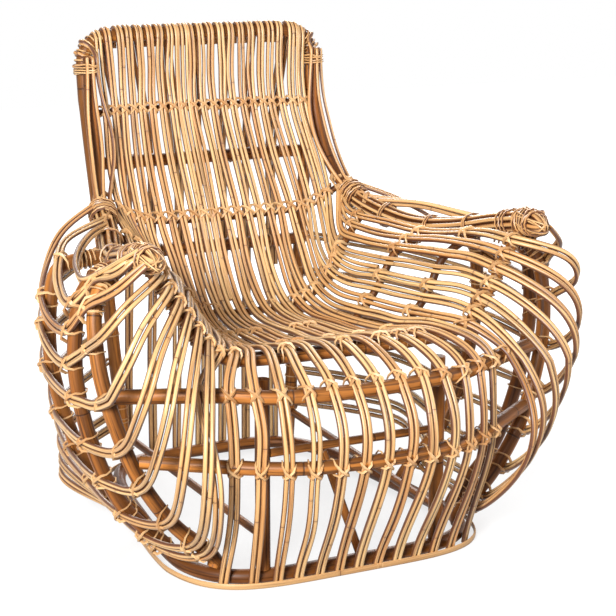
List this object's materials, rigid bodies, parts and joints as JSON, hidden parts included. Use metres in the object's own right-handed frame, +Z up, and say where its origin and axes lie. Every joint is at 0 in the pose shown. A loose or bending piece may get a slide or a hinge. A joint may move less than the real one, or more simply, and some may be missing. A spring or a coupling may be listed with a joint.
{
  "type": "rattan lounge armchair",
  "caption": "Low rattan lounge armchair: bent pole frame covered by a fanned skin of paired canes that runs from the back over the seat and round the arms to an oval base.",
  "frame": {"origin": "centre of the bounding box in plan, on the floor", "axes": "+Z up, the sitter faces -Y, +X is the sitter's left"},
  "size_m": [0.8716, 0.794, 0.8395],
  "materials": {
    "cane": "peeled rattan cane, satin",
    "pole": "bent rattan pole, satin",
    "rail": "thin rattan pole, satin",
    "strip": "split cane strip, satin"
  },
  "bodies": {
    "root": {"arm_canes_left": "cane", "arm_canes_right": "cane", "arm_pole_left": "pole", "arm_pole_right": "pole", "back_hoop": "pole", "back_rail": "rail", "base_edge_strip": "strip", "base_hoop": "pole", "crease_rail": "rail", "crown_rail": "pole", "front_leg_left": "pole", "front_leg_right": "pole", "front_rail": "pole", "inner_strut": "pole", "leg_stretcher": "pole", "lumbar_rail": "rail", "middle_stretcher": "pole", "rear_rail_lower": "pole", "rear_rail_upper": "pole", "rib_left_1": "cane", "rib_left_2": "cane", "rib_right_1": "cane", "rib_right_2": "cane", "seat_rail_front": "rail", "seat_rail_rear": "rail", "side_pole_front_left": "pole", "side_pole_front_right": "pole", "side_pole_middle_left": "pole", "side_pole_middle_right": "pole", "side_pole_rear_left": "pole", "side_pole_rear_right": "pole", "side_stretcher_left": "pole", "side_stretcher_right": "pole", "strand_left_1": "cane", "strand_left_10": "cane", "strand_left_11": "cane", "strand_left_12": "cane", "strand_left_13": "cane", "strand_left_2": "cane", "strand_left_3": "cane", "strand_left_4": "cane", "strand_left_5": "cane", "strand_left_6": "cane", "strand_left_7": "cane", "strand_left_8": "cane", "strand_left_9": "cane", "strand_middle": "cane", "strand_right_1": "cane", "strand_right_10": "cane", "strand_right_11": "cane", "strand_right_12": "cane", "strand_right_13": "cane", "strand_right_2": "cane", "strand_right_3": "cane", "strand_right_4": "cane", "strand_right_5": "cane", "strand_right_6": "cane", "strand_right_7": "cane", "strand_right_8": "cane", "strand_right_9": "cane"}
  },
  "joints": []
}
